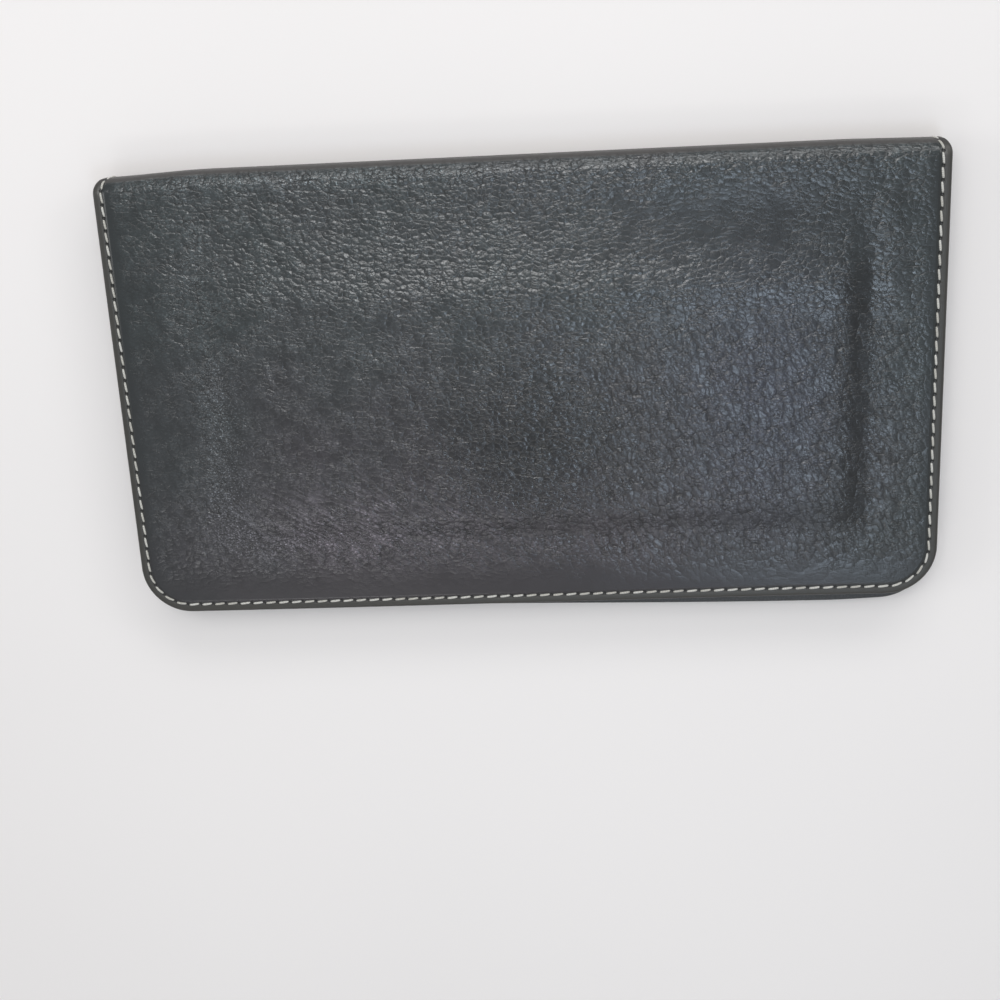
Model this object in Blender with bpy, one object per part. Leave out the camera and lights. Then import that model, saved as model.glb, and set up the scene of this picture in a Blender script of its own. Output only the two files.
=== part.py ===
"""Long bifold wallet of grained leather, closed and lying on its back cover.

+X runs along the fold, +Y points to the fold and +Z points up through the closed wallet. The origin is
under the middle of the wallet, on the surface that it lies on. Lengths are in metres.

The wallet has two sewn halves and a spine between them. Each half is a stack of sheets: cover leather,
a board that stiffens it, lining, and the pockets. The spine is a strip of the same leather. It bends
along two lines, one beside each cover, and the wallet opens flat by 90 degrees at each line.
"""

import math

import bmesh
import bpy
from mathutils import Vector

MM = 0.001

# Outer shape, seen from the front
WALLET_WIDTH = 190.0 * MM
BACK_LENGTH = 107.6 * MM
FRONT_SHORTER_BY = 2.5 * MM
OPEN_CORNER_RADIUS = 11.5 * MM
FOLD_RADIUS = 3.5 * MM
SPINE_END_PULL = 1.0 * MM

# Sheet thicknesses
COVER_LEATHER = 1.3 * MM
BOARD = 0.7 * MM
LINING = 0.3 * MM
PANEL_LEATHER = 0.8 * MM
TIER_LEATHER = 0.6 * MM

# Clearances between the sheets
GLUE_GAP = 0.1 * MM
TIER_GAP = 0.15 * MM
POCKET_GAP = 0.3 * MM
HALVES_GAP = 1.3 * MM

# The raised field that the board presses into each cover
FIELD_WIDTH = 156.0 * MM
FIELD_LENGTH = 81.0 * MM
FIELD_OFF_CENTRE = 1.0 * MM
FIELD_TO_SPINE = 8.1 * MM
FIELD_CORNER_RADIUS = 4.0 * MM
FIELD_SLOPE = 5.0 * MM
BOARD_MARGIN = 1.0 * MM

# The mark that a block of cards has pressed into the front cover, on top of its raised field
CARD_MARK_RISE = 0.5 * MM
CARD_MARK_LENGTH = 58.0 * MM
CARD_MARK_INSET = 1.0 * MM
CARD_MARK_SLOPE = 3.0 * MM
CARD_MARK_SLOPE_TO_SPINE = 7.0 * MM

# Pockets: how far each piece reaches from the open edge of its half, or stops short of the spine
TIER_COUNT = 4
LAST_TIER_DEPTH = 50.0 * MM
TIER_STEP = 13.0 * MM
PANEL_TO_SPINE = 7.8 * MM
CHEQUE_POCKET_DEPTH = 72.0 * MM
THUMB_NOTCH_WIDTH = 34.0 * MM
THUMB_NOTCH_DEPTH = 9.0 * MM
MOUTH_CORNER_RADIUS = 2.0 * MM

# Seams
SEAM_INSET = 2.0 * MM
STITCH_PITCH = 3.2 * MM
THREAD_RADIUS = 0.28 * MM
INNER_THREAD_RADIUS = 0.22 * MM
NEEDLE_HOLE_SHARE = 0.4
STEP_CLEARANCE = 0.4 * MM
STEP_RUN = 0.8 * MM
SEAM_GAP_AT_BEND = math.radians(10.0)
CUT_CLEARANCE = math.radians(2.0)

# Facets of the round stretches, and how large a bend line's empty is drawn
CORNER_STEPS = 8
FOLD_STEPS = 4
NOTCH_STEPS = 10
PIVOT_DISPLAY = 10.0 * MM

# Levels inside the closed wallet, counted inwards from the outside of a half
FIELD_RISE = BOARD + GLUE_GAP
LINING_LEVEL = FIELD_RISE + COVER_LEATHER + GLUE_GAP
PANEL_LEVEL = LINING_LEVEL + LINING + POCKET_GAP
FIRST_TIER_LEVEL = PANEL_LEVEL + PANEL_LEATHER + TIER_GAP
FRONT_STACK = FIRST_TIER_LEVEL + TIER_COUNT * TIER_LEATHER + (TIER_COUNT - 1) * TIER_GAP
CHEQUE_LEVEL = PANEL_LEVEL + PANEL_LEATHER + POCKET_GAP
BACK_STACK = CHEQUE_LEVEL + PANEL_LEATHER
CLOSED_THICKNESS = BACK_STACK + HALVES_GAP + FRONT_STACK

# Places along Y
THREAD_STANDS = GLUE_GAP + 2 * THREAD_RADIUS
HALF_WIDTH = WALLET_WIDTH / 2
BACK_OPEN_Y = -(BACK_LENGTH + THREAD_STANDS) / 2
FRONT_OPEN_Y = BACK_OPEN_Y + FRONT_SHORTER_BY
SPINE_Y = BACK_OPEN_Y + BACK_LENGTH
FOLD_Y = SPINE_Y - FOLD_RADIUS
PANEL_END_Y = SPINE_Y - PANEL_TO_SPINE
FIELD_END_Y = SPINE_Y - FIELD_TO_SPINE

# Half of each round corner of the spine belongs to the cover and half to the spine
QUARTER_TURN = math.pi / 2
LIP_ANGLE = QUARTER_TURN / 2 - CUT_CLEARANCE

# A bend line lies where the leather keeps its length as the round corner opens out flat
HINGE_Y = FOLD_Y + FOLD_RADIUS * QUARTER_TURN / 2
HINGE_LEVEL = FIELD_RISE + FOLD_RADIUS * (1 - QUARTER_TURN / 2)


def material(name, colour, roughness):
    """A leather, cloth, board or thread finish."""
    made = bpy.data.materials.new(name)
    made.use_nodes = True
    made.diffuse_color = (*colour, 1.0)
    shader = made.node_tree.nodes["Principled BSDF"]
    shader.inputs["Base Color"].default_value = (*colour, 1.0)
    shader.inputs["Roughness"].default_value = roughness
    shader.inputs["Metallic"].default_value = 0.0
    return made


def pivot(name, y, z, parent=None):
    """An empty on a bend line, which carries everything that turns about it."""
    empty = bpy.data.objects.new(name, None)
    bpy.context.scene.collection.objects.link(empty)
    empty.empty_display_size = PIVOT_DISPLAY
    place(empty, parent, Vector((0, y, z)))
    return empty


def place_of(obj):
    """Where an object's origin is in the wallet's own frame. Nothing in the wallet is turned."""
    return obj.location + (place_of(obj.parent) if obj.parent else Vector())


def place(obj, parent, at):
    """Parents obj and sets its location from a place in the wallet's own frame."""
    obj.parent = parent
    obj.location = at - place_of(parent) if parent else at


def finish_mesh(bm, name, finish, parent):
    """Turns a bmesh into a named, smooth-shaded object."""
    mesh = bpy.data.meshes.new(name)
    bm.to_mesh(mesh)
    bm.free()
    mesh.materials.append(finish)
    mesh.shade_smooth()
    mesh.set_sharp_from_angle(angle=math.radians(30))
    obj = bpy.data.objects.new(name, mesh)
    bpy.context.scene.collection.objects.link(obj)
    place(obj, parent, Vector())
    return obj


def arc(centre, radius, start, end, steps):
    """Points on an arc, ends included. Angles are in degrees, anticlockwise from +X."""
    turns = [math.radians(start + (end - start) * i / steps) for i in range(steps + 1)]
    return [Vector((centre[0] + radius * math.cos(a), centre[1] + radius * math.sin(a))) for a in turns]


def sheet_outline(open_y, far_y, far_radius=0.0):
    """The cut shape of a sheet, anticlockwise: round corners at the open edge, nearly square ones beyond."""
    radius = OPEN_CORNER_RADIUS
    right = HALF_WIDTH - radius
    points = arc((-right, open_y + radius), radius, 180, 270, CORNER_STEPS)
    points += arc((right, open_y + radius), radius, 270, 360, CORNER_STEPS)
    if far_radius:
        inset = HALF_WIDTH - far_radius
        points += arc((inset, far_y - far_radius), far_radius, 0, 90, CORNER_STEPS // 2)
        points += arc((-inset, far_y - far_radius), far_radius, 90, 180, CORNER_STEPS // 2)
    else:
        points += [Vector((HALF_WIDTH, far_y)), Vector((-HALF_WIDTH, far_y))]
    return points


def with_thumb_notch(points, far_y):
    """The same outline with a shallow round notch in the middle of its far edge."""
    half = THUMB_NOTCH_WIDTH / 2
    radius = (half**2 + THUMB_NOTCH_DEPTH**2) / (2 * THUMB_NOTCH_DEPTH)
    spread = math.degrees(math.asin(half / radius))
    centre = (0, far_y - THUMB_NOTCH_DEPTH + radius)
    notch = arc(centre, radius, 270 + spread, 270 - spread, NOTCH_STEPS)
    first_left = next(i for i, p in enumerate(points) if p.y > far_y - MOUTH_CORNER_RADIUS / 2 and p.x < 0)
    return points[:first_left] + notch + points[first_left:]


def rounded_rectangle(centre, width, length, radius):
    """A closed outline with round corners, anticlockwise from its lower left corner."""
    right, top = width / 2 - radius, length / 2 - radius
    points = []
    for x, y, start in ((-right, -top, 180), (right, -top, 270), (right, top, 0), (-right, top, 90)):
        points += arc((centre[0] + x, centre[1] + y), radius, start, start + 90, CORNER_STEPS // 2)
    return points


def field_rectangle(inset):
    """The raised field's outline, drawn in from its foot by an inset."""
    centre = (FIELD_OFF_CENTRE, FIELD_END_Y - FIELD_LENGTH / 2)
    return rounded_rectangle(
        centre, FIELD_WIDTH - 2 * inset, FIELD_LENGTH - 2 * inset, FIELD_CORNER_RADIUS
    )


def card_mark_rectangle(inset, inset_at_spine):
    """The card mark's outline, drawn in from its foot: by inset on three sides, and by another at the spine."""
    from_field = FIELD_SLOPE + CARD_MARK_INSET + inset
    width = FIELD_WIDTH - 2 * from_field
    low_y = FIELD_END_Y - FIELD_LENGTH + from_field
    length = CARD_MARK_LENGTH - inset - inset_at_spine
    return rounded_rectangle((FIELD_OFF_CENTRE, low_y + length / 2), width, length, FIELD_CORNER_RADIUS)


def loop_of(bm, points, z):
    """A closed loop of edges through the points at one height."""
    verts = [bm.verts.new((p.x, p.y, z)) for p in points]
    return [bm.edges.new((a, b)) for a, b in zip(verts, verts[1:] + verts[:1])]


def thicken(bm, inward_of, thickness):
    """Turns a sheet of faces into a solid, each point carried inwards along its own direction."""
    raised = bmesh.ops.extrude_face_region(bm, geom=list(bm.faces))["geom"]
    for vert in (g for g in raised if isinstance(g, bmesh.types.BMVert)):
        vert.co += inward_of(vert.co) * thickness
    bmesh.ops.recalc_face_normals(bm, faces=bm.faces)


def turn_over(bm):
    """Turns a piece built for the back half upside down, as the front half has it."""
    bmesh.ops.scale(bm, vec=(1, 1, -1), verts=bm.verts)
    bmesh.ops.reverse_faces(bm, faces=bm.faces)
    bmesh.ops.translate(bm, verts=bm.verts, vec=(0, 0, CLOSED_THICKNESS))


def plate(name, points, level, thickness, front, finish, parent):
    """A flat sheet of one thickness. Its level is counted inwards from the outside of its half."""
    bm = bmesh.new()
    bm.faces.new([bm.verts.new((p.x, p.y, level)) for p in points])
    thicken(bm, lambda _: Vector((0, 0, 1)), thickness)
    if front:
        turn_over(bm)
    return finish_mesh(bm, name, finish, parent)


def pull_in_ends(verts, bent_share_of):
    """Draws the ends of a fold in a little, as a bend does to the corners of a sheet."""
    for vert in verts:
        vert.co.x -= math.copysign(SPINE_END_PULL * bent_share_of(vert.co), vert.co.x)


def bent_sheet(name, open_y, level, thickness, front, finish, parent, fill=None):
    """A cover or a lining: a sheet that turns up into a short curved lip beside the spine.

    fill makes the flat part's faces inside its outline. Without it, they are one flat face.
    """
    bm = bmesh.new()
    outline = loop_of(bm, sheet_outline(open_y, FOLD_Y), level)
    far_edge = next(e for e in outline if all(v.co.y > FOLD_Y - GLUE_GAP for v in e.verts))
    if fill:
        fill(bm, outline, level)
    else:
        bmesh.ops.contextual_create(bm, geom=outline)
    radius = FOLD_RADIUS - (level - FIELD_RISE)
    centre = Vector((0, FOLD_Y, level + radius))
    bmesh.ops.spin(
        bm,
        geom=[far_edge, *far_edge.verts],
        cent=centre,
        axis=(1, 0, 0),
        angle=LIP_ANGLE,
        steps=FOLD_STEPS,
    )
    lip = [v for v in bm.verts if v.co.y > FOLD_Y + GLUE_GAP]
    pull_in_ends(lip, lambda at: (at.z - level) / radius)
    thicken(bm, lambda at: towards(centre, at) if at.y > FOLD_Y else Vector((0, 0, 1)), thickness)
    if front:
        turn_over(bm)
    return finish_mesh(bm, name, finish, parent)


def towards(centre, at):
    """The direction across X from a place on a round corner to its centre line."""
    return Vector((0, centre.y - at.y, centre.z - at.z)).normalized()


def step_out(bm, around, foot_points, top_points, level, rise):
    """Fills a loop with a flat face that has a raised step in it. Returns the step's top loop."""
    foot = loop_of(bm, foot_points, level)
    top = loop_of(bm, top_points, level - rise)
    bmesh.ops.triangle_fill(bm, use_beauty=True, edges=around + foot)
    bmesh.ops.bridge_loops(bm, edges=foot + top)
    return top


def raised_field(bm, outline, level):
    """The flat margin of a cover and the raised field inside it."""
    top = step_out(bm, outline, field_rectangle(0), field_rectangle(FIELD_SLOPE), level, FIELD_RISE)
    bmesh.ops.contextual_create(bm, geom=top)


def raised_field_with_card_mark(bm, outline, level):
    """The same, and the card mark that rises from the field."""
    field = step_out(bm, outline, field_rectangle(0), field_rectangle(FIELD_SLOPE), level, FIELD_RISE)
    foot = card_mark_rectangle(0, 0)
    top = card_mark_rectangle(CARD_MARK_SLOPE, CARD_MARK_SLOPE_TO_SPINE)
    mark = step_out(bm, field, foot, top, level - FIELD_RISE, CARD_MARK_RISE)
    bmesh.ops.contextual_create(bm, geom=mark)


def board(name, front, finish, parent):
    """The stiffening board, which lies in the hollow behind a cover's raised field."""
    points = field_rectangle(FIELD_SLOPE + BOARD_MARGIN)
    return plate(name, points, COVER_LEATHER + GLUE_GAP, BOARD, front, finish, parent)


def spine_strip(name, level, thickness, finish, parent):
    """The spine: a strip that stands between the covers, with half a round corner at its top and bottom."""
    radius = FOLD_RADIUS - (level - FIELD_RISE)
    low, high = level + radius, CLOSED_THICKNESS - level - radius
    bm = bmesh.new()
    low_ends = [bm.verts.new((x, FOLD_Y + radius, low)) for x in (HALF_WIDTH, -HALF_WIDTH)]
    high_ends = [bm.verts.new((x, FOLD_Y + radius, high)) for x in (HALF_WIDTH, -HALF_WIDTH)]
    bm.faces.new([*low_ends, *reversed(high_ends)])
    for ends, centre_z, turn in ((low_ends, low, -LIP_ANGLE), (high_ends, high, LIP_ANGLE)):
        bmesh.ops.spin(
            bm,
            geom=[bm.edges.get(ends), *ends],
            cent=(0, FOLD_Y, centre_z),
            axis=(1, 0, 0),
            angle=turn,
            steps=FOLD_STEPS,
        )
    pull_in_ends(bm.verts, lambda at: 1 - max(low - at.z, at.z - high, 0.0) / radius)

    def inward_of(at):
        nearest = min(max(at.z, low), high)
        return towards(Vector((0, FOLD_Y, nearest)), at)

    thicken(bm, inward_of, thickness)
    return finish_mesh(bm, name, finish, parent)


def lip_points(x, start, end):
    """Places and outward directions on the round corner beside the back cover, by angle from its foot."""
    centre = Vector((x, FOLD_Y, FIELD_RISE + FOLD_RADIUS))
    found = []
    for i in range(FOLD_STEPS + 1):
        turn = start + (end - start) * i / FOLD_STEPS
        outward = Vector((0, math.sin(turn), -math.cos(turn)))
        found.append((centre + outward * FOLD_RADIUS, outward))
    return found


def plan_seam(open_y, far_y):
    """The seam's line in plan, from the spine down the left, along the open edge and up the right."""
    radius = OPEN_CORNER_RADIUS - SEAM_INSET
    right = HALF_WIDTH - OPEN_CORNER_RADIUS
    corner_y = open_y + OPEN_CORNER_RADIUS
    left_corner = arc((-right, corner_y), radius, 180, 270, CORNER_STEPS)
    right_corner = arc((right, corner_y), radius, 270, 360, CORNER_STEPS)
    side_x = HALF_WIDTH - SEAM_INSET
    return [Vector((-side_x, far_y)), *left_corner, *right_corner, Vector((side_x, far_y))]


def outer_seam_path(open_y):
    """Places on the outside of a back half, with outward directions, along its seam and up both lips."""
    side_x = HALF_WIDTH - SEAM_INSET
    down = Vector((0, 0, -1))
    flat = [(Vector((p.x, p.y, FIELD_RISE)), down) for p in plan_seam(open_y, FOLD_Y)]
    lip_end = QUARTER_TURN / 2 - SEAM_GAP_AT_BEND
    left = lip_points(-side_x, lip_end, 0.0)
    right = lip_points(side_x, 0.0, lip_end)
    return left[:-1] + flat + right[1:]


def spine_seam_path(x):
    """Places on the outside of the spine from its lower corner to its upper one."""
    start = QUARTER_TURN / 2 + SEAM_GAP_AT_BEND
    low = lip_points(x, start, QUARTER_TURN)
    high = []
    for point, outward in reversed(low):
        high.append((Vector((x, point.y, CLOSED_THICKNESS - point.z)), outward * Vector((1, 1, -1))))
    return low + high


def turned_over(path):
    """A back half's path as the front half has it."""
    flip = Vector((1, 1, -1))
    top = Vector((0, 0, CLOSED_THICKNESS))
    return [(point * flip + top, outward * flip) for point, outward in path]


def stepped_seam_path(open_y, steps, far_y):
    """A seam's path on the inside of a half, where it goes down a step at each pocket's mouth.

    steps lists (level above the outside, y where that level ends), from the open edge to the spine.
    """
    inward = Vector((0, 0, 1))
    plan = plan_seam(open_y, far_y)
    top_level = steps[0][0]
    middle = [(Vector((p.x, p.y, top_level)), inward) for p in plan[1:-1]]
    right = stepped_run(plan[-1].x, steps, far_y)
    left = [(point * Vector((-1, 1, 1)), outward) for point, outward in reversed(right)]
    return left + middle + right


def stepped_run(x, steps, far_y):
    """The steps of a seam along one line of constant x, starting past the first level's straight run."""
    inward = Vector((0, 0, 1))
    run = []
    for (level, edge_y), (next_level, _) in zip(steps, steps[1:]):
        run.append((Vector((x, edge_y + STEP_CLEARANCE, level)), inward))
        run.append((Vector((x, edge_y + STEP_CLEARANCE + STEP_RUN, next_level)), inward))
    run.append((Vector((x, far_y, steps[-1][0])), inward))
    return run


def at_length(path, distance):
    """The place and outward direction at a distance along a path."""
    for (a, a_out), (b, b_out) in zip(path, path[1:]):
        step = (b - a).length
        if distance <= step:
            share = distance / step
            return a.lerp(b, share), a_out.lerp(b_out, share).normalized()
        distance -= step
    return path[-1]


def stitched(path, radius):
    """The points of a thread that swells along each stitch and narrows where the needle went through.

    Each has its share of the full radius, and the thread lies on the leather at every share.
    """
    length = sum((b[0] - a[0]).length for a, b in zip(path, path[1:]))
    half_stitches = 2 * max(1, round(length / STITCH_PITCH))
    points = []
    for i in range(half_stitches + 1):
        share = 1.0 if i % 2 else NEEDLE_HOLE_SHARE
        on_leather, outward = at_length(path, length * i / half_stitches)
        points.append((on_leather + outward * (GLUE_GAP + radius * share), share))
    return points


def laid(path, radius):
    """The points of a thread that lies along a path at one radius."""
    return [(on_leather + outward * (GLUE_GAP + radius), 1.0) for on_leather, outward in path]


def thread(name, points, radius, finish, parent):
    """One thread: a tube through the points, closed at both ends."""
    curve = bpy.data.curves.new(name, "CURVE")
    curve.dimensions = "3D"
    curve.bevel_depth = radius
    curve.bevel_resolution = 0
    curve.use_fill_caps = True
    spline = curve.splines.new("POLY")
    spline.points.add(len(points) - 1)
    for target, (centre, share) in zip(spline.points, points):
        target.co = (*centre, 1.0)
        target.radius = share
    curve.materials.append(finish)
    obj = bpy.data.objects.new(name, curve)
    bpy.context.scene.collection.objects.link(obj)
    place(obj, parent, Vector())
    return obj


def tier_mouth_y(number):
    """Where the mouth of a card tier is: tier 1 lies deepest and reaches nearest to the spine."""
    return FRONT_OPEN_Y + LAST_TIER_DEPTH + (TIER_COUNT - number) * TIER_STEP


def tier_level(number):
    """The level of a card tier's hidden face."""
    return FIRST_TIER_LEVEL + (number - 1) * (TIER_LEATHER + TIER_GAP)


def build_back_half(parent, leather, inner_leather, cloth, card, cream):
    """The half that the wallet lies on: a slip compartment with a full-width cheque pocket over it."""
    open_y = BACK_OPEN_Y
    bent_sheet("back_cover", open_y, FIELD_RISE, COVER_LEATHER, False, leather, parent, raised_field)
    board("back_board", False, card, parent)
    bent_sheet("back_lining", open_y, LINING_LEVEL, LINING, False, cloth, parent)
    panel = sheet_outline(open_y, PANEL_END_Y, MOUTH_CORNER_RADIUS)
    plate("slip_panel", panel, PANEL_LEVEL, PANEL_LEATHER, False, inner_leather, parent)
    mouth_y = open_y + CHEQUE_POCKET_DEPTH
    pocket = with_thumb_notch(sheet_outline(open_y, mouth_y, MOUTH_CORNER_RADIUS), mouth_y)
    plate("cheque_pocket", pocket, CHEQUE_LEVEL, PANEL_LEATHER, False, inner_leather, parent)
    tops = [
        (BACK_STACK, mouth_y),
        (PANEL_LEVEL + PANEL_LEATHER, PANEL_END_Y),
        (LINING_LEVEL + LINING, FOLD_Y),
    ]
    inner = laid(stepped_seam_path(open_y, tops, FOLD_Y), INNER_THREAD_RADIUS)
    thread("back_inner_seam", inner, INNER_THREAD_RADIUS, cream, parent)
    outer = stitched(outer_seam_path(open_y), THREAD_RADIUS)
    thread("back_outer_seam", outer, THREAD_RADIUS, cream, parent)


def build_spine(parent, leather, cloth, cream):
    """The strip that joins the halves, its lining, and the seam that crosses each of its ends."""
    spine_strip("spine_cover", FIELD_RISE, COVER_LEATHER, leather, parent)
    spine_strip("spine_lining", LINING_LEVEL, LINING, cloth, parent)
    side_x = HALF_WIDTH - SEAM_INSET
    for name, x in (("spine_seam_left", -side_x), ("spine_seam_right", side_x)):
        thread(name, stitched(spine_seam_path(x), THREAD_RADIUS), THREAD_RADIUS, cream, parent)


def build_front_half(parent, leather, inner_leather, cloth, card, cream):
    """The half on top: a note compartment with tiers of card slots over it, in two columns."""
    open_y = FRONT_OPEN_Y
    marked = raised_field_with_card_mark
    bent_sheet("front_cover", open_y, FIELD_RISE, COVER_LEATHER, True, leather, parent, marked)
    board("front_board", True, card, parent)
    bent_sheet("front_lining", open_y, LINING_LEVEL, LINING, True, cloth, parent)
    panel = sheet_outline(open_y, PANEL_END_Y, MOUTH_CORNER_RADIUS)
    plate("card_panel", panel, PANEL_LEVEL, PANEL_LEATHER, True, inner_leather, parent)
    for number in range(1, TIER_COUNT + 1):
        strip = sheet_outline(open_y, tier_mouth_y(number), MOUTH_CORNER_RADIUS)
        level = tier_level(number)
        plate(f"card_tier_{number}", strip, level, TIER_LEATHER, True, inner_leather, parent)
    tiers = [(tier_level(n) + TIER_LEATHER, tier_mouth_y(n)) for n in range(TIER_COUNT, 0, -1)]
    tops = tiers + [(PANEL_LEVEL + PANEL_LEATHER, PANEL_END_Y), (LINING_LEVEL + LINING, FOLD_Y)]
    inner = laid(turned_over(stepped_seam_path(open_y, tops, FOLD_Y)), INNER_THREAD_RADIUS)
    thread("front_inner_seam", inner, INNER_THREAD_RADIUS, cream, parent)
    start_y = open_y + SEAM_INSET + STITCH_PITCH / 2
    start = (Vector((0, start_y, tops[0][0])), Vector((0, 0, 1)))
    down_the_middle = [start, *stepped_run(0, tiers, tier_mouth_y(1) - SEAM_INSET)]
    divider = laid(turned_over(down_the_middle), INNER_THREAD_RADIUS)
    thread("card_divider_seam", divider, INNER_THREAD_RADIUS, cream, parent)
    outer = stitched(turned_over(outer_seam_path(open_y)), THREAD_RADIUS)
    thread("front_outer_seam", outer, THREAD_RADIUS, cream, parent)


def main():
    for old in list(bpy.data.objects):
        bpy.data.objects.remove(old, do_unlink=True)
    leather = material("cover_leather", (0.062, 0.070, 0.074), 0.42)
    inner_leather = material("pocket_leather", (0.058, 0.062, 0.066), 0.50)
    cloth = material("lining_cloth", (0.095, 0.098, 0.105), 0.85)
    card = material("stiffening_board", (0.42, 0.36, 0.27), 0.90)
    cream = material("cream_thread", (0.62, 0.58, 0.48), 0.60)
    back_half = pivot("back_half", 0.0, 0.0)
    spine = pivot("spine_bend_line", HINGE_Y, HINGE_LEVEL, back_half)
    front_half = pivot("front_bend_line", HINGE_Y, CLOSED_THICKNESS - HINGE_LEVEL, spine)
    build_back_half(back_half, leather, inner_leather, cloth, card, cream)
    build_spine(spine, leather, cloth, cream)
    build_front_half(front_half, leather, inner_leather, cloth, card, cream)
    print("thickness over the card mark mm", round((CLOSED_THICKNESS + CARD_MARK_RISE) / MM, 3))
    print("bend lines mm: y", round(HINGE_Y / MM, 4), "z", round(HINGE_LEVEL / MM, 4))
    print("open edges mm:", round(BACK_OPEN_Y / MM, 3), round(FRONT_OPEN_Y / MM, 3))


main()
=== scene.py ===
# %% [markdown]
# # The looks of a long bifold wallet
#
# The wallet lies closed on its back cover. Its covers are pebbled charcoal leather over a stiff board,
# sewn to a cloth lining and to leather pockets with a cream thread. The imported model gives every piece
# at its size and place. This script gives each one its real surface: the board that presses through
# the leather, the pebbles of the grain, the painted edges and each single stitch.
#
# The first cell loads that model and reads its sizes. Reading them is better than typing them again,
# because the pieces made here then follow the model when it changes.

# %% Load the frame and read its sizes
import math
from functools import partial

import bpy
import numpy as np
from mathutils import Euler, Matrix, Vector


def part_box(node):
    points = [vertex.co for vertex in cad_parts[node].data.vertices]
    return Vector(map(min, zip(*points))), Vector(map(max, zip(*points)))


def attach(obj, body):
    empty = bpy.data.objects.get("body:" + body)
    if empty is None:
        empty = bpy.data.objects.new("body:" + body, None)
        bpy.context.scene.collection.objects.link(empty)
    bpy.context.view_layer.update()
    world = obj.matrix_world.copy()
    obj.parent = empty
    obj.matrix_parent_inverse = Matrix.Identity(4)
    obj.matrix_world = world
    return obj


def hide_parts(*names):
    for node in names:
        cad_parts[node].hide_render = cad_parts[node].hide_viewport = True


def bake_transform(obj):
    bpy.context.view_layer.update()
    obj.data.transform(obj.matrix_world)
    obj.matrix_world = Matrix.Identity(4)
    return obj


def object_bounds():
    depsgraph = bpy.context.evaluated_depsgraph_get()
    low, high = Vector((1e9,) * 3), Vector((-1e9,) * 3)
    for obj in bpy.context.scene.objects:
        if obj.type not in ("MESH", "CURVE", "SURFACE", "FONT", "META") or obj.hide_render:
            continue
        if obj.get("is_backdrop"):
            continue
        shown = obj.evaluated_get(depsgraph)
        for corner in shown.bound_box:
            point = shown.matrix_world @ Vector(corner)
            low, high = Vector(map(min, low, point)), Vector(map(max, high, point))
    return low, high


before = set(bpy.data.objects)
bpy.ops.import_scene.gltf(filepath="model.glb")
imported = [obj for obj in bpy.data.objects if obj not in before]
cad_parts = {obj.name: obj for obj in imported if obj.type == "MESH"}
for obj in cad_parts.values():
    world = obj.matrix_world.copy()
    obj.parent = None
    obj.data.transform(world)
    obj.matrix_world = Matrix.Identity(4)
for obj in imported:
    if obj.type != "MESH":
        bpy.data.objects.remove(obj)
cad_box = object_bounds()

MM = 0.001


def box_mm(node):
    """The lowest and highest corner of a node, in millimetres."""
    low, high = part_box(node)
    return np.array(low) / MM, np.array(high) / MM


HALF_WIDTH = float(box_mm("back_cover")[1][0])
OPEN_Y = {half: float(box_mm(f"{half}_cover")[0][1]) for half in ("back", "front")}
SPINE_Y = float(box_mm("spine_cover")[1][1])
LINING_LEVEL = float(box_mm("back_lining")[0][2])
THICKNESS = LINING_LEVEL + float(box_mm("front_lining")[1][2])
BOARD_TOP = float(box_mm("back_board")[1][2])
print("closed thickness", round(THICKNESS, 2), "mm; open edges", OPEN_Y)

# %% [markdown]
# Boxes don't tell how round the corners and the fold are, how thick the leather is, or where the board's
# raised field and the mark of the cards lie. Those values are repeated here in millimetres, under the
# names that the model's own source gives them.

# %% Sizes shared with the model's source
OPEN_CORNER_RADIUS = 11.5
FOLD_RADIUS = 3.5
SPINE_END_PULL = 1.0
COVER_LEATHER = 1.3
LINING = 0.3
FIELD_WIDTH = 156.0
FIELD_LENGTH = 81.0
FIELD_OFF_CENTRE = 1.0
FIELD_TO_SPINE = 8.1
FIELD_SLOPE = 5.0
CARD_MARK_RISE = 0.5
CARD_MARK_LENGTH = 58.0
CARD_MARK_INSET = 1.0
CARD_MARK_SLOPE = 3.0
CARD_MARK_SLOPE_TO_SPINE = 7.0
MOUTH_CORNER_RADIUS = 2.0
SEAM_INSET = 2.0
STITCH_PITCH = 3.2

QUARTER_TURN = math.pi / 2
# Which way the inside of each half faces in the closed wallet.
FACING = {"back": 1, "front": -1}
FIELD_RISE = BOARD_TOP - COVER_LEATHER
FOLD_Y = SPINE_Y - FOLD_RADIUS
SPINE_HALF = THICKNESS / 2 - FIELD_RISE - FOLD_RADIUS
FLAT_AT = SPINE_HALF + FOLD_RADIUS * QUARTER_TURN
HIDE_TO_Y = FOLD_Y + FLAT_AT
OPEN_AT = {half: HIDE_TO_Y - open_y for half, open_y in OPEN_Y.items()}
print("field rise", round(FIELD_RISE, 2), "mm; skin of the back half", round(OPEN_AT["back"], 1), "mm")

# %% [markdown]
# Everything outside on the wallet follows the same bent sheet: half of the spine, a quarter turn and
# the flat cover. So each half gets one map, as a pattern cutter has one. It takes a place on the flat
# hide, x along the fold and s from the middle of the spine, and a depth under the leather's surface,
# and gives the place on the folded wallet. Leather, lining and stitches all go through it, and so they
# can't drift apart. Modelling the wallet folded, piece by piece, would need each bend three times.
#
# The real wallet isn't quite square: its fold droops at the ends, its front half is turned a little,
# and its back half hangs out a little right of the middle. One function holds these shifts for every
# piece of a half.

# %% The map from flat hide to folded wallet
DROOP = {-1: 0.9, 1: 0.4}
DROOP_LENGTH = 26.0
DROOP_FADE = 14.0
SHIFTED_BELOW, FULLY_SHIFTED_BELOW = 10.0, -45.0
BACK_HANGS_OUT = 0.85
HANGING_FROM, HANGING_BY, HANGING_FADES = -25.0, 60.0, 70.0
FRONT_TURN = 1.15
FRONT_TURN_REACH = 85.0
FRONT_DROP = 0.38


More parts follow.
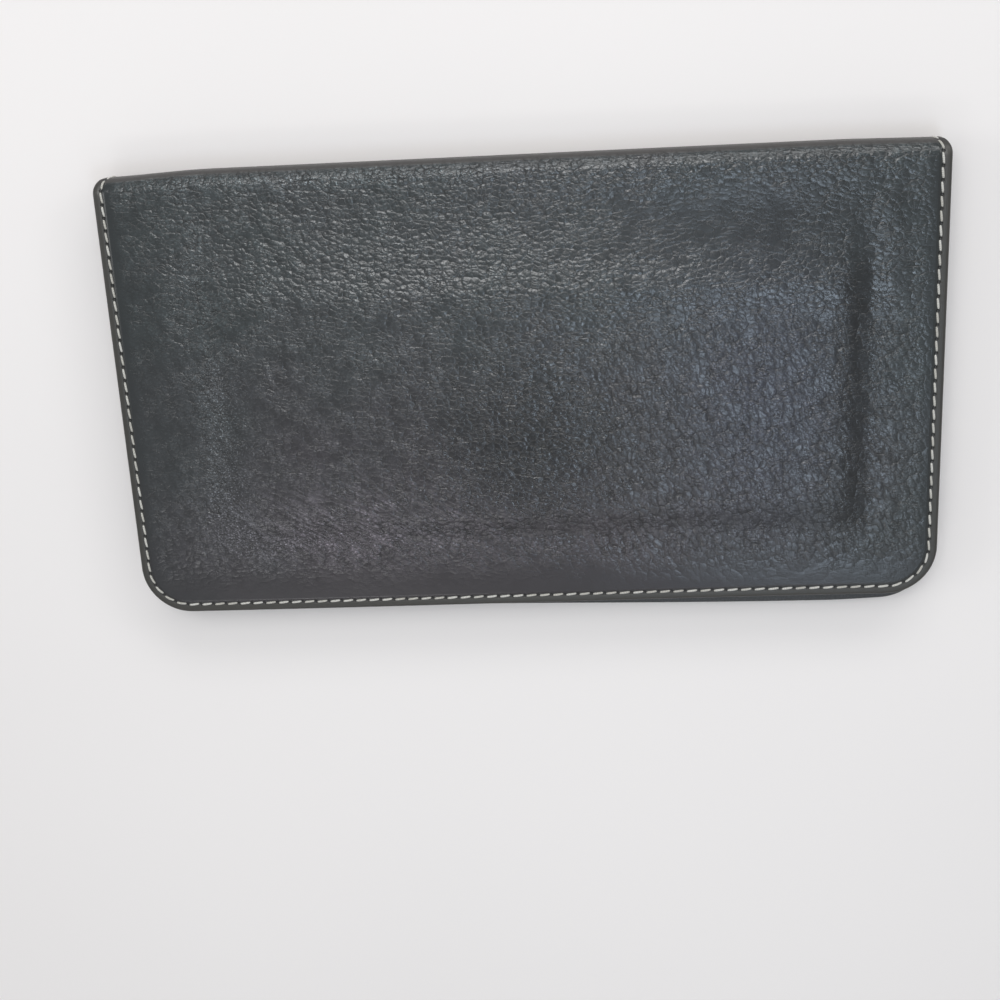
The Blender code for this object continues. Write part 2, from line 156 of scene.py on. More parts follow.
def eased(value, start, end):
    """0 before start, 1 after end and a smooth rise between."""
    t = np.clip((value - start) / (end - start), 0, 1)
    return t * t * (3 - 2 * t)


def settled(points, half):
    """Moves points of a half along Y, as a used wallet's edges have moved."""
    x, y = points[..., 0], points[..., 1]
    near_fold = eased(y, FOLD_Y - DROOP_FADE, FOLD_Y)
    for side, droop in DROOP.items():
        points[..., 1] -= droop * near_fold * eased(side * x, HALF_WIDTH - DROOP_LENGTH, HALF_WIDTH)
    low = eased(-y, -SHIFTED_BELOW, -FULLY_SHIFTED_BELOW)
    if half == "back":
        hanging = eased(x, HANGING_FROM, HANGING_BY) * (1 - eased(x, HANGING_FADES, HALF_WIDTH))
        points[..., 1] -= BACK_HANGS_OUT * low * hanging
    else:
        points[..., 1] += low * (FRONT_TURN * eased(x, -HALF_WIDTH, FRONT_TURN_REACH) - FRONT_DROP)
    return points


def on_skin(x, s, depth, half):
    """Places in mm of points on or under the skin of a half."""
    turn = np.clip((s - SPINE_HALF) / FOLD_RADIUS, 0, QUARTER_TURN)
    radius = FOLD_RADIUS - depth
    y = FOLD_Y + radius * np.cos(turn) - np.maximum(s - FLAT_AT, 0)
    z = FIELD_RISE + FOLD_RADIUS - radius * np.sin(turn) + np.maximum(SPINE_HALF - s, 0)
    pulled = x * (1 - SPINE_END_PULL / HALF_WIDTH * np.cos(turn) ** 3)
    points = np.stack(np.broadcast_arrays(pulled, y, z), axis=-1).astype(float)
    if half == "front":
        points[..., 2] = THICKNESS - points[..., 2]
    return settled(points, half)


corner = on_skin(np.array([HALF_WIDTH]), np.array([OPEN_AT["front"]]), np.array([0.0]), "front")[0]
print("lower right of the front cover before its corner is rounded, mm:", corner.round(2))

# %% [markdown]
# A cover's edge is cut, bevelled and painted, and the seam runs at an even distance inside it. Both
# need to know how far each place is from the edge, and the seam also needs how far along the edge it
# is. These distances are worked out once, and the shader gets them as attributes of the mesh.

# %% Distances from the edge and along the seam
SEAM_RADIUS = OPEN_CORNER_RADIUS - SEAM_INSET
SEAM_CORNER = SEAM_RADIUS * QUARTER_TURN
SEAM_BOTTOM = 2 * (HALF_WIDTH - OPEN_CORNER_RADIUS)
# The seam's length from the middle of the spine to where the open corner starts, and the whole of it.
SEAM_SIDE = {half: open_at - OPEN_CORNER_RADIUS for half, open_at in OPEN_AT.items()}
SEAM_LENGTH = {half: 2 * (side + SEAM_CORNER) + SEAM_BOTTOM for half, side in SEAM_SIDE.items()}


def corner_inset(side, end, radius):
    """Distance inside two edges that meet in a round corner."""
    inside = (side < radius) & (end < radius)
    return np.where(inside, radius - np.hypot(radius - side, radius - end), np.minimum(side, end))


def along_seam(x, s, half):
    """How far along its seam the nearest stitch is, from the spine's left end to its right one."""
    side = HALF_WIDTH - np.abs(x)
    end = OPEN_AT[half] - s
    radius = OPEN_CORNER_RADIUS
    turned = np.arctan2(np.maximum(radius - end, 0), np.maximum(radius - side, 1e-6))
    on_bottom = SEAM_SIDE[half] + SEAM_CORNER + side - radius
    length = np.where(end > radius, s, SEAM_SIDE[half] + SEAM_RADIUS * turned)
    length = np.where((side > radius) & (end < side), on_bottom, length)
    return np.where(x < 0, length, SEAM_LENGTH[half] - length)


def seam_path(length, half):
    """Places (x, s) and directions (x, s) of the seam at distances from the spine's left end."""
    mirrored = length > SEAM_LENGTH[half] / 2
    run = np.where(mirrored, SEAM_LENGTH[half] - length, length)
    turned = np.clip((run - SEAM_SIDE[half]) / SEAM_RADIUS, 0, QUARTER_TURN)
    on_bottom = np.maximum(run - SEAM_SIDE[half] - SEAM_CORNER, 0)
    right = HALF_WIDTH - OPEN_CORNER_RADIUS
    x = -right - SEAM_RADIUS * np.cos(turned) + on_bottom
    s = np.minimum(run, SEAM_SIDE[half]) + SEAM_RADIUS * np.sin(turned)
    sign = np.where(mirrored, -1.0, 1.0)
    return x * sign, s, np.sin(turned), np.cos(turned) * sign


print({half: f"seam of {SEAM_LENGTH[half]:.1f} mm" for half in OPEN_AT})

# %% [markdown]
# The board behind the leather is smaller than the cover, so the leather steps down round it, and a
# block of cards has pressed a second, fainter step into the front. Years of use have made the leather
# sink and swell in between. That is shape and not texture: it moves the long highlights, and it has to
# show from the side. So it is built into the mesh as a height over the flat margin.

# %% The relief of the covers
FIELD_END_Y = SPINE_Y - FIELD_TO_SPINE
FIELD_LOW = (FIELD_OFF_CENTRE - FIELD_WIDTH / 2, FIELD_END_Y - FIELD_LENGTH)
FIELD_HIGH = (FIELD_OFF_CENTRE + FIELD_WIDTH / 2, FIELD_END_Y)
CARD_MARK_TO_FIELD = FIELD_SLOPE + CARD_MARK_INSET
SOFT_SLOPES = (12.0, 6.5, 8.0, 21.0)
SPINE_SLOPE_POWER = 1.5
CREST_REACH = 4.5
CREST_CLIMB = 9.5
CREST_POWER = 1.9
SWELL_COUNT = 14
SWELL_HEIGHT = 0.12
SWELL_LENGTHS = (17.0, 46.0)
SWELL_SEEDS = {"front": 3, "back": 8}
FLAT_EDGE = (2.5, 12.0)
FLAT_AT_FOLD = 8.0
# Ridges of the front cover that run down beside the field: a stripe (centre and reach in x, where it
# starts and ends in y) and a height.
RIDGE_ENDS = (-44.0, -34.0), (38.0, 46.0)
MARGIN_RIDGES = (((83.2, 3.6, *RIDGE_ENDS), 0.26), ((-81.5, 3.0, *RIDGE_ENDS), 0.16))
# Bulges and hollows of the front cover: a zone (centre x and y, reach in x and y) and a height.
BULGES = (((50.0, -8.0, 13.0, 30.0), 0.25), ((-73.0, 4.0, 5.0, 14.0), -0.12))


def plateau(x, y, low, high, slopes, top_power=1.0):
    """1 inside a rectangle and 0 outside it, with slopes (left, right, low, high) inside its edges."""
    left, right, bottom, top = slopes
    across = eased(x, low[0], low[0] + left) * eased(-x, -high[0], -high[0] + right)
    along = eased(y, low[1], low[1] + bottom) * eased(-y, -high[1], -high[1] + top) ** top_power
    return across * along


def band(value, centre, reach):
    """1 at the centre, fading out on both sides."""
    return np.exp(-(((value - centre) / reach) ** 2))


def spot(x, y, zone):
    """1 at the centre of a zone, fading out all round."""
    at_x, at_y, wide, long = zone
    return np.exp(-(((x - at_x) / wide) ** 2) - ((y - at_y) / long) ** 2)


def stripe(across, along, shape):
    """1 on the middle line of a stripe, fading out across it and at both ends."""
    centre, reach, start, end = shape
    return band(across, centre, reach) * eased(along, *start) * eased(-along, -end[1], -end[0])


def swell(x, y, seed):
    """Gentle unevenness between -1 and 1: a few long waves in seeded directions."""
    draw = np.random.default_rng(seed)
    total = np.zeros(np.broadcast(x, y).shape)
    for _ in range(SWELL_COUNT):
        length = draw.uniform(*SWELL_LENGTHS)
        heading, start = draw.uniform(0, 2 * math.pi, 2)
        total += np.sin(2 * math.pi * (x * math.cos(heading) + y * math.sin(heading)) / length + start)
    return np.clip(total / math.sqrt(2 * SWELL_COUNT), -1, 1)


def pressed_shape(x, y, half):
    """Height that the board and the cards press into a cover, over its flat margin."""
    height = FIELD_RISE * plateau(x, y, FIELD_LOW, FIELD_HIGH, (FIELD_SLOPE,) * 4)
    if half == "front":
        low = (FIELD_LOW[0] + CARD_MARK_TO_FIELD, FIELD_LOW[1] + CARD_MARK_TO_FIELD)
        high = (FIELD_HIGH[0] - CARD_MARK_TO_FIELD, low[1] + CARD_MARK_LENGTH)
        slopes = (CARD_MARK_SLOPE, CARD_MARK_SLOPE, CARD_MARK_SLOPE, CARD_MARK_SLOPE_TO_SPINE)
        height = height + CARD_MARK_RISE * plateau(x, y, low, high, slopes)
    return height


def softened_shape(x, y, half):
    """The pressed shape as it shows outside, where the leather has bridged and rounded its steps."""
    height = FIELD_RISE * plateau(x, y, FIELD_LOW, FIELD_HIGH, SOFT_SLOPES, SPINE_SLOPE_POWER)
    if half == "front":
        crest_end = FIELD_LOW[1] + CARD_MARK_TO_FIELD + CARD_MARK_LENGTH + CREST_REACH
        climb = np.clip((crest_end - y) / CREST_CLIMB, 0, 1) ** CREST_POWER
        height = height + CARD_MARK_RISE * climb * plateau(x, y, FIELD_LOW, FIELD_HIGH, SOFT_SLOPES)
    return height


def worn_shape(x, y, half):
    """What use adds: the leather sinks a little over the field and swells in the margins beside it."""
    inner = eased(HALF_WIDTH - np.abs(x), *FLAT_EDGE) * eased(y - OPEN_Y[half], *FLAT_EDGE)
    inner = inner * eased(FOLD_Y - y, 0.0, FLAT_AT_FOLD)
    height = -SWELL_HEIGHT * inner * (0.5 + 0.5 * swell(x, y, SWELL_SEEDS[half]))
    if half == "front":
        for ridge, rise in MARGIN_RIDGES:
            height = height + rise * stripe(x, y, ridge)
        for zone, rise in BULGES:
            height = height + rise * spot(x, y, zone)
    return height


print("tallest pressed shape, mm:", round(float(pressed_shape(0.0, 0.0, "front")), 2))

# %% [markdown]
# Blender builds a mesh fastest from whole arrays. Each sheet here is two grids of points, its good side
# and its hidden side, joined by a rim. Rows and columns crowd towards the cut edges, where the bevel
# turns within half a millimetre, and lie wider apart in the middle. A Bevel modifier would need clean
# edge loops round every corner, and a Solidify modifier can't thin a sheet towards its edge.

# %% Helpers that build sheets
MAP_NAME = "hide"
MAP_MM = 100.0
EDGE_STEPS = (0.0, 0.04, 0.16, 0.34, 0.55, 0.8, 1.1, 1.45, 1.75, 2.05, 2.4, 2.8)


def crowded(start, end, step, near=EDGE_STEPS, far=EDGE_STEPS):
    """Places from start to end: near and far list the first steps in from each end."""
    first, last = start + near[-1], end - far[-1]
    middle = np.linspace(first, last, max(2, round((last - first) / step) + 1))[1:-1]
    return np.concatenate([start + np.array(near), middle, end - np.array(far)[::-1]])


def grid_faces(numbers):
    """Quads of a grid of point numbers."""
    corners = [numbers[:-1, :-1], numbers[:-1, 1:], numbers[1:, 1:], numbers[1:, :-1]]
    return np.stack(corners, -1).reshape(-1, 4)


def outline_of(numbers):
    """The numbers round a grid of point numbers."""
    return np.concatenate([numbers[0, :-1], numbers[:-1, -1], numbers[-1, :0:-1], numbers[:0:-1, 0]])


def facing_out(points, quads):
    """The same quads, turned round if they enclose their volume inside out."""
    a, b, c, d = (points[quads[:, i]] for i in range(4))
    volume = (np.cross(b, c) * a).sum() + (np.cross(c, d) * a).sum()
    return quads if volume > 0 else quads[:, ::-1]


def placed(name, data):
    """A new object in the scene."""
    obj = bpy.data.objects.new(name, data)
    bpy.context.scene.collection.objects.link(obj)
    return obj


def make_mesh(name, points, faces, finish, hide_map, values):
    """A smooth mesh object from points in mm, with a map in mm and one value list for each attribute."""
    mesh = bpy.data.meshes.new(name)
    mesh.from_pydata((points * MM).tolist(), [], faces)
    corners = np.empty(len(mesh.loops), int)
    mesh.loops.foreach_get("vertex_index", corners)
    layer = mesh.uv_layers.new(name=MAP_NAME)
    layer.data.foreach_set("uv", (hide_map / MAP_MM)[corners].astype(np.float32).ravel())
    for label, numbers in values.items():
        attribute = mesh.attributes.new(label, "FLOAT", "POINT")
        attribute.data.foreach_set("value", numbers.astype(np.float32))
    mesh.shade_smooth()
    mesh.materials.append(finish)
    return placed(name, mesh)


def make_sheet(name, good, hidden, finish, hide_map, values, cut_row=False):
    """A closed sheet between two grids of points. cut_row marks the first row's rim as a sharp cut."""
    rows, columns = good.shape[:2]
    count = rows * columns
    numbers = np.arange(count).reshape(rows, columns)
    faces, ring = grid_faces(numbers), outline_of(numbers)
    after = np.roll(ring, -1)
    rim = np.stack([after, ring, ring + count, after + count], -1)
    points = np.concatenate([good.reshape(-1, 3), hidden.reshape(-1, 3)])
    everything = facing_out(points, np.concatenate([faces, faces[:, ::-1] + count, rim])).tolist()
    both = {label: np.tile(value.ravel(), 2) for label, value in values.items()}
    obj = make_mesh(name, points, everything, finish, np.tile(hide_map.reshape(-1, 2), (2, 1)), both)
    if cut_row:
        ends = np.empty(len(obj.data.edges) * 2, int)
        obj.data.edges.foreach_get("vertices", ends)
        on_cut = (ends.reshape(-1, 2) % count < columns).all(axis=1)
        sharp = obj.data.attributes.new("sharp_edge", "BOOLEAN", "EDGE")
        sharp.data.foreach_set("value", on_cut)
    return obj


def rounded_off(side, radius):
    """How much shorter a sheet is at a distance from its side, where its corner is round."""
    return radius - np.sqrt(radius**2 - np.maximum(radius - side, 0) ** 2)


def bevel(inset, radius):
    """How far a round edge falls away at a distance inside it."""
    return radius - np.sqrt(radius**2 - (radius - np.clip(inset, 0, radius)) ** 2)


print("places across a cover:", len(crowded(-HALF_WIDTH, HALF_WIDTH, 0.9)))

# %% [markdown]
# A finish is a graph of nodes, and a graph written as a list of links is hard to read. One small class
# wraps a socket so that Python's own arithmetic adds the nodes: edge * 2 + 1 makes two of them. It
# picks Vector Math for colours and vectors, because a plain Math node would turn them grey. Any other
# node comes from one method, which takes its settings first and then the values of its sockets.

# %% Shader expressions


class Wire:
    """The output of a node, on which arithmetic adds nodes."""

    def __init__(self, finish, socket):
        self.finish = finish
        self.socket = socket

    def does(self, operation, *values):
        """A Math node, or a Vector Math node if a colour or vector takes part."""
        several = any(is_several(value) for value in values)
        kind = "VectorMath" if several else "Math"
        return self.finish.node(kind, {"operation": operation}, dict(enumerate(values)))

    def __add__(self, other):
        return self.does("ADD", self, other)

    def __sub__(self, other):
        return self.does("SUBTRACT", self, other)

    def __rsub__(self, other):
        return self.does("SUBTRACT", other, self)

    def __mul__(self, other):
        return self.does("MULTIPLY", self, other)

    def __truediv__(self, other):
        return self.does("DIVIDE", self, other)

    def __rtruediv__(self, other):
        return self.does("DIVIDE", other, self)

    def __pow__(self, other):
        return self.does("POWER", self, other)

    def __abs__(self):
        return self.through("ABSOLUTE")

    __radd__ = __add__
    __rmul__ = __mul__

    def through(self, operation):
        """A Math node that takes this value alone."""
        return self.does(operation, self)

    def rise(self, low, high):
        """0 below low, 1 above high and a smooth rise between."""
        settings = {"interpolation_type": "SMOOTHSTEP"}
        return self.finish.node("MapRange", settings, {"Value": self, "From Min": low, "From Max": high})


def is_several(value):
    if isinstance(value, Wire):
        return value.socket.type in ("VECTOR", "RGBA")
    return isinstance(value, tuple)


def grey(value):
    return (value, value, value)


class Finish:
    """A material whose nodes are written as expressions."""

    def __init__(self, name):
        self.material = bpy.data.materials.new(name)
        self.material.use_nodes = True
        self.tree = self.material.node_tree
        self.tree.nodes.clear()

    def feed(self, socket, value):
        """Links a wire to a socket, or sets its number, vector or colour."""
        if isinstance(value, Wire):
            self.tree.links.new(value.socket, socket)
        elif isinstance(socket.default_value, (int, float)):
            socket.default_value = value
        else:
            numbers = value if isinstance(value, tuple) else grey(value)
            socket.default_value = (*numbers, 1.0)[: len(socket.default_value)]

    def node(self, kind, settings=None, inputs=None, output=0):
        """A node of a kind: its settings first, then its sockets by name or number."""
        made = self.tree.nodes.new(f"ShaderNode{kind}")
        for name, value in (settings or {}).items():
            setattr(made, name, value)
        for name, value in (inputs or {}).items():
            if isinstance(name, int):
                socket = made.inputs[name]
            else:
                socket = next(s for s in made.inputs if s.enabled and s.name == name)
            self.feed(socket, value)
        shown = [s for s in made.outputs if s.enabled]
        return Wire(self, shown[output])

    def attribute(self, name):
        """A number that the mesh carries at each of its points."""
        return self.node("Attribute", {"attribute_name": name}, output=2)

    def hide_mm(self):
        """The place on the flat hide, in millimetres."""
        return self.node("UVMap", {"uv_map": MAP_NAME}) * grey(MAP_MM)

    def axis(self, place, number):
        """One number of a place."""
        return self.node("SeparateXYZ", inputs={0: place}, output=number)

    def noise(self, place, size, detail=2.0, colour=False):
        """Soft noise around 0.5 with features of a size in mm, or three such noises as one colour."""
        sockets = {"Vector": place, "Scale": 1 / size, "Detail": detail}
        return self.node("TexNoise", inputs=sockets, output=1 if colour else 0)

    def mix(self, factor, a, b):
        """a where the factor is 0 and b where it is 1."""
        kind = "RGBA" if is_several(a) or is_several(b) else "FLOAT"
        return self.node("Mix", {"data_type": kind}, {"Factor": factor, "A": a, "B": b})

    def bump(self, height_mm):
        """A normal tilted by a height in millimetres."""
        return self.node("Bump", inputs={"Height": height_mm, "Distance": MM})

    def layered(self, tone, *layers):
        """A tone under layers, each with its share and a colour or a factor on what is below it."""
        for share, over in layers:
            tone = self.mix(share, tone, over if is_several(over) else tone * grey(over))
        return tone

    def surface(self, tone, roughness, height_mm=None, others=None):
        """Ends the material with a Principled shader."""
        sockets = {"Base Color": tone, "Roughness": roughness, **(others or {})}
        if height_mm is not None:
            sockets["Normal"] = self.bump(height_mm)
        shader = self.node("BsdfPrincipled", inputs=sockets)
        end = self.tree.nodes.new("ShaderNodeOutputMaterial")
        self.tree.links.new(shader.socket, end.inputs["Surface"])
        return self.material


print("shader expressions are ready")

# %% [markdown]
# The cover leather is satin, charcoal and pebbled. The pebbles are one to two millimetres long. They lie
# along a diagonal at the lower right of the cover and nearly level elsewhere. A Voronoi texture draws
# them: its distance to a cell's point gives each pebble a round top, and its distance to the cell's edge
# gives the crease round it. The plane is first stretched, turned and bent by noise, so that no two
# pebbles match. Beads, long wrinkles, fine streaks and a slow rolling lie over them, because a hide has
# a grain at every size. A noise texture alone looks like stone.

# %% The patterns of the grain
# Each pattern's length and width in mm and the angle that it is turned by.
DIAGONAL, NEARLY_LEVEL = math.radians(-62), math.radians(-6)
DIAGONAL_PEBBLES = (2.2, 1.5, DIAGONAL)
LEVEL_PEBBLES = (1.7, 1.15, NEARLY_LEVEL)
BEADS = (0.85, 0.6, NEARLY_LEVEL)
POCKET_PEBBLES = (0.95, 0.7, NEARLY_LEVEL)
WRINKLES = (7.5, 1.3, NEARLY_LEVEL)
STREAKS = (14.0, 1.5, math.radians(-32))
ROLLS = (4.4, 2.0, DIAGONAL)
DOME_REACH = 0.72


def laid_along(finish, place, pattern):
    """A place in shares of a pattern's length and width."""
    length, width, turn = pattern
    sockets = {"Vector": place, "Rotation": (0.0, 0.0, turn), "Scale": (length, width, 1.0)}
    return finish.node("Mapping", {"vector_type": "TEXTURE"}, sockets)


def cells(finish, place, pattern, feature):
    """A measure of a pattern's irregular cells."""
    settings = {"voronoi_dimensions": "2D", "feature": feature}
    sockets = {"Vector": laid_along(finish, place, pattern), "Scale": 1.0, "Randomness": 0.85}
    return finish.node("TexVoronoi", settings, sockets)


def off_crease(finish, place, pattern):
    """Distance to the nearest crease between a pattern's cells, in shares of a cell."""
    return cells(finish, place, pattern, "DISTANCE_TO_EDGE")


def domes(finish, place, pattern):
    """Height of round-topped pebbles over the creases between them, from about 0 to 1."""
    return 1 - (cells(finish, place, pattern, "F1") / DOME_REACH) ** 2


def winding_lines(finish, place, pattern, reach):
    """1 on lines that wind along a pattern, where a noise is at its middle, and 0 between them."""
    return 1 - abs(finish.noise(laid_along(finish, place, pattern), 1.0, 1.0) - 0.5).rise(0.0, reach)


def bent(finish, place, size, by):
    """A place moved by noise."""
    return place + (finish.noise(place, size, 1.0, colour=True) - grey(0.5)) * (by, by, 0.0)


print("pebbles, mm:", DIAGONAL_PEBBLES[:2], "and", LEVEL_PEBBLES[:2])

# %% [markdown]
# Use has changed the leather from place to place. Some zones have a coarser grain and some a calm one.
# Some are violet, some are streaked, and over the fold and along the edges the pebbles are rubbed flat.
# Other zones carry painted light: a painted dark reflection in the middle, at the upper right and down a
# stripe at the right, a painted cool reflection on the right half, painted highlights on the streaks,
# and along the edges of the field specked tips with painted glints. The functions here work that out for
# each point of a cover, and its mesh hands it to the finish as attributes. Noise would scatter such
# zones, but wear isn't scattered: it follows the way in which a wallet is held.

# %% The wear of the leather and its painted light
# Where the grain rises inside a cut edge, where the fold's bare band ends, and how deep the grain is.
# Names that end in DOWN count from the middle of the cover towards its open edge.
GRAIN_EDGE = (2.2, 6.0)
FOLD_BAND = (FLAT_AT - 3.6, FLAT_AT - 2.8)
GRAIN_ON_FOLD = 0.15
COARSEST, CALMEST = 1.4, 0.03
NEAR_FOLD, COARSER_NEAR_FOLD = (FOLD_Y - 5.0, FOLD_Y), 0.4
MARGIN_DOWN, LOST_IN_MARGIN = (37.0, 46.0), 0.88
# Zones where the grain is calm, and the share of it that is lost there.
CALM_ZONES = (
    ((-62.0, -6.0, 32.0, 17.0), 0.3),
    ((-92.0, 5.0, 11.0, 60.0), 0.5),
    ((48.0, 38.0, 40.0, 13.0), 0.8),
)
# A coarser band down the cover's left: centre and reach in x, where it starts, its end and its gain.
COARSE_BAND = (-73.5, 3.2)
COARSE_FROM, COARSE_TO, COARSE_GAIN = (-38.0, -25.0), 44.0, 0.5
# Stripes and zones of painted dark and cool reflections, streaks, specks and painted glints.
PAINTED_DARK_STRIPE, PAINTED_DARK_SHARE = (75.0, 5.0, (-42.0, -30.0), (20.0, 34.0)), 0.8
PAINTED_DARK_ZONES = (((1.0, -12.0, 26.0, 20.0), 1.0), ((64.0, 38.0, 26.0, 15.0), 0.35))
SPECKS_AND_PAINTED_GLINTS_LEFT = (-71.0, 5.0, (-40.0, -30.0), (0.0, 16.0))
SPECKS_AND_PAINTED_GLINTS_BELOW = (-34.0, 3.6, (-78.0, -66.0), (-42.0, -8.0))
SPECKS_AND_PAINTED_GLINTS_AT_FOLD = (50.6, 1.3, (-92.0, -74.0), (-14.0, 16.0))
PAINTED_COOL_ZONE = (56.0, -2.0, 24.0, 34.0)
STREAKED_ZONE = (-38.0, -30.0, 32.0, 9.5)
# The lower right corner, where the pebbles lie along a diagonal, and the violet tint.
DIAGONAL_RIGHT, DIAGONAL_DOWN = (-4.0, 34.0), (-26.0, -6.0)
VIOLET_BAND, VIOLET_DOWN = (-15.0, 95.0), (-30.0, 50.0)


def coarseness(x, y, inset, half):
    """How deep the pebbles are. The back cover has the same zones, mirrored."""
    coarse = (1 + COARSER_NEAR_FOLD * eased(y, *NEAR_FOLD)) * eased(inset, *GRAIN_EDGE)
    x = x if half == "front" else -x
    for zone, loss in CALM_ZONES:
        coarse = coarse * (1 - loss * spot(x, y, zone))
    coarse = coarse * (1 - LOST_IN_MARGIN * eased(-y, *MARGIN_DOWN))
    return coarse + COARSE_GAIN * band(x, *COARSE_BAND) * eased(y, *COARSE_FROM) * (y < COARSE_TO)


def front_streaks_and_painted_light(x, y):
    """The front cover's painted dark reflection, painted cool reflection, streaks, and specks with
    painted glints.
    """
    darkened = PAINTED_DARK_SHARE * stripe(x, y, PAINTED_DARK_STRIPE)
    for zone, share in PAINTED_DARK_ZONES:
        darkened = darkened + share * spot(x, y, zone)
    sparkling = stripe(x, y, SPECKS_AND_PAINTED_GLINTS_LEFT)
    for row in (SPECKS_AND_PAINTED_GLINTS_BELOW, SPECKS_AND_PAINTED_GLINTS_AT_FOLD):
        sparkling = sparkling + stripe(y, x, row)
    return {
        "darkened": darkened,
        "bluish": spot(x, y, PAINTED_COOL_ZONE),
        "streaked": spot(x, y, STREAKED_ZONE),
        "sparkling": sparkling,
    }


def grain_attributes(x, s, inset, half):
    """What the leather is like at each place, for the finish. The streaks, specks and painted light are
    the front cover's alone.
    """
    y = HIDE_TO_Y - s
    fold = 1 - eased(s, *FOLD_BAND)
    coarse = (1 - fold) * coarseness(x, y, inset, half)
    front_only = 1.0 if half == "front" else 0.0
    return {
        "coarse": np.clip(coarse, CALMEST, COARSEST) + GRAIN_ON_FOLD * fold,
        "level": 1 - eased(x, *DIAGONAL_RIGHT) * eased(-y, *DIAGONAL_DOWN),
        "violet": (0.3 + 0.7 * eased(-y, *VIOLET_DOWN)) * band(x, *VIOLET_BAND),
        "fold": fold,
        **{label: front_only * share for label, share in front_streaks_and_painted_light(x, y).items()},
    }


print("calm zones:", len(CALM_ZONES), "darkened zones:", len(PAINTED_DARK_ZONES))

# %% [markdown]
# The finish takes a height, a tone and a roughness from the same patterns, so that a crease is low, dull
# and darkened by painted shade at once, while the tips, glints, streaks and crests of the rolls carry
# painted highlights. The seam adds its own shape: a shallow groove with a hole at each end of each
# stitch, each hole darkened by painted shade, and outside it a smooth strip that ends in a painted edge.

# %% The cover leather
COOL_TONE, WARM_TONE = (0.0240, 0.0305, 0.0320), (0.0330, 0.0290, 0.0340)
PAINTED_COOL_TONE, PAINTED_DARK_TONE = (0.028, 0.031, 0.045), (0.004, 0.005, 0.006)
STRIP_TONE, FOLD_TONE = (0.036, 0.034, 0.028), (0.042, 0.039, 0.037)
PAINTED_HOLE_SHADE, PAINT_TONE = (0.012, 0.012, 0.012), (0.032, 0.030, 0.027)
GROOVE_DEPTH, HOLE_DEPTH = 0.12, 0.30
PAINTED_ROUGHNESS = 0.42
LEATHER_IOR = 1.6


def seam_marks(along, inset, pitch):
    """The seam's groove and the needle holes at the ends of its stitches: 0 off them, 1 inside."""
    off_line = abs(inset - SEAM_INSET)
    groove = 1 - off_line.rise(0.15, 0.95)
    from_end = abs((along / pitch + 0.5).through("FRACT") - 0.5) * pitch
    from_hole = (off_line**2 + from_end**2).through("SQRT")
    return groove, 1 - from_hole.rise(0.12, 0.48)


